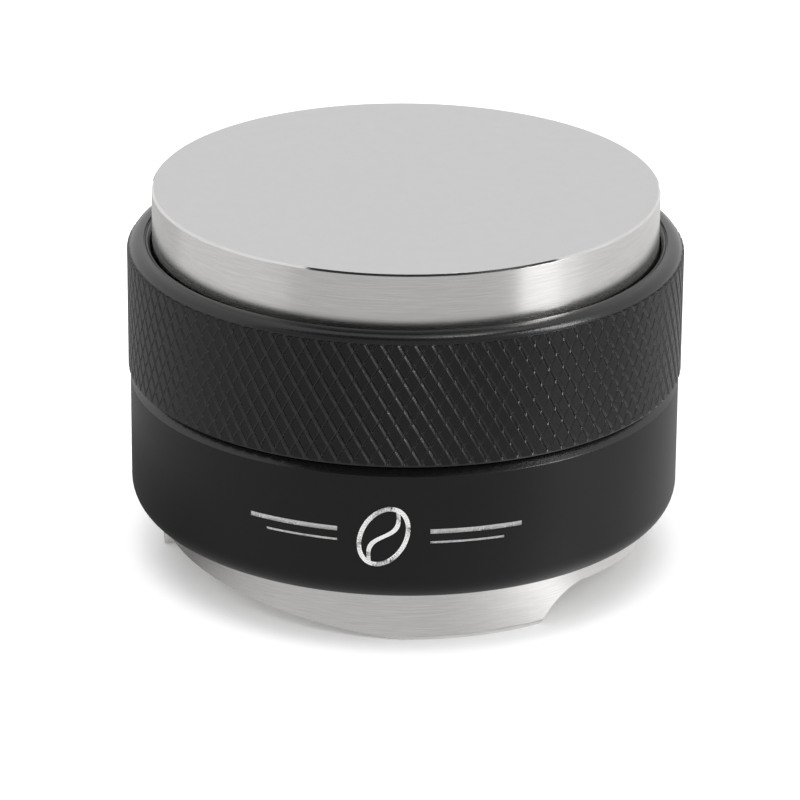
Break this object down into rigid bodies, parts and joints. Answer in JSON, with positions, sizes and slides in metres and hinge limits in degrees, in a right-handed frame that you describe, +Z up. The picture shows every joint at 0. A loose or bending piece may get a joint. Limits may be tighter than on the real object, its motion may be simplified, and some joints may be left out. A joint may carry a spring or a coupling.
{
  "type": "two-ended coffee tamper",
  "caption": "Two-ended coffee tamper: flat steel base above, three-wedge steel distributor below, black housing with a knurled grip ring.",
  "frame": {"origin": "on the tool's axis, in the plane of the three wedge lands that it stands on", "axes": "+Z up the axis towards the flat tamping face, -Y towards the viewer's side"},
  "size_m": [0.0638, 0.0638, 0.0441],
  "materials": {
    "steel": "fine satin, turned",
    "black_aluminium": "black anodised, satin",
    "clear_aluminium": "clear anodised",
    "screw_steel": "plain stainless",
    "o_ring_rubber": "matt"
  },
  "bodies": {
    "housing": {"grip_ring": "black_aluminium", "lower_body": "black_aluminium", "joining_screws": "screw_steel", "dowel_pins": "screw_steel"},
    "tamper_ring": {"tamper_o_ring": "o_ring_rubber"},
    "tamper_head": {"tamper_base": "steel", "tamper_hub": "clear_aluminium", "tamper_hub_screws": "screw_steel"},
    "distributor_ring": {"distributor_o_ring": "o_ring_rubber"},
    "distributor_head": {"distributor_base": "steel", "distributor_hub": "clear_aluminium", "distributor_hub_screws": "screw_steel"}
  },
  "joints": [
    {"name": "tamper_turn", "type": "hinge", "parent": "tamper_ring", "child": "tamper_head", "pos_m": [0, 0, 0.03], "axis": [0, 0, 1], "range_deg": [-768, 432]},
    {"name": "tamper_lift", "type": "slide", "parent": "housing", "child": "tamper_ring", "axis": [0, 0, 1], "range_m": [-0.0032, 0.0018]},
    {"name": "distributor_turn", "type": "hinge", "parent": "distributor_ring", "child": "distributor_head", "pos_m": [0, 0, 0.014], "axis": [0, 0, 1], "range_deg": [-432, 768]},
    {"name": "distributor_lift", "type": "slide", "parent": "housing", "child": "distributor_ring", "axis": [0, 0, 1], "range_m": [-0.0018, 0.0032]}
  ],
  "couplings": [
    {"joint": "tamper_lift", "follows": "tamper_turn", "m_per_rad": 0.00023873},
    {"joint": "distributor_lift", "follows": "distributor_turn", "m_per_rad": 0.00023873}
  ]
}
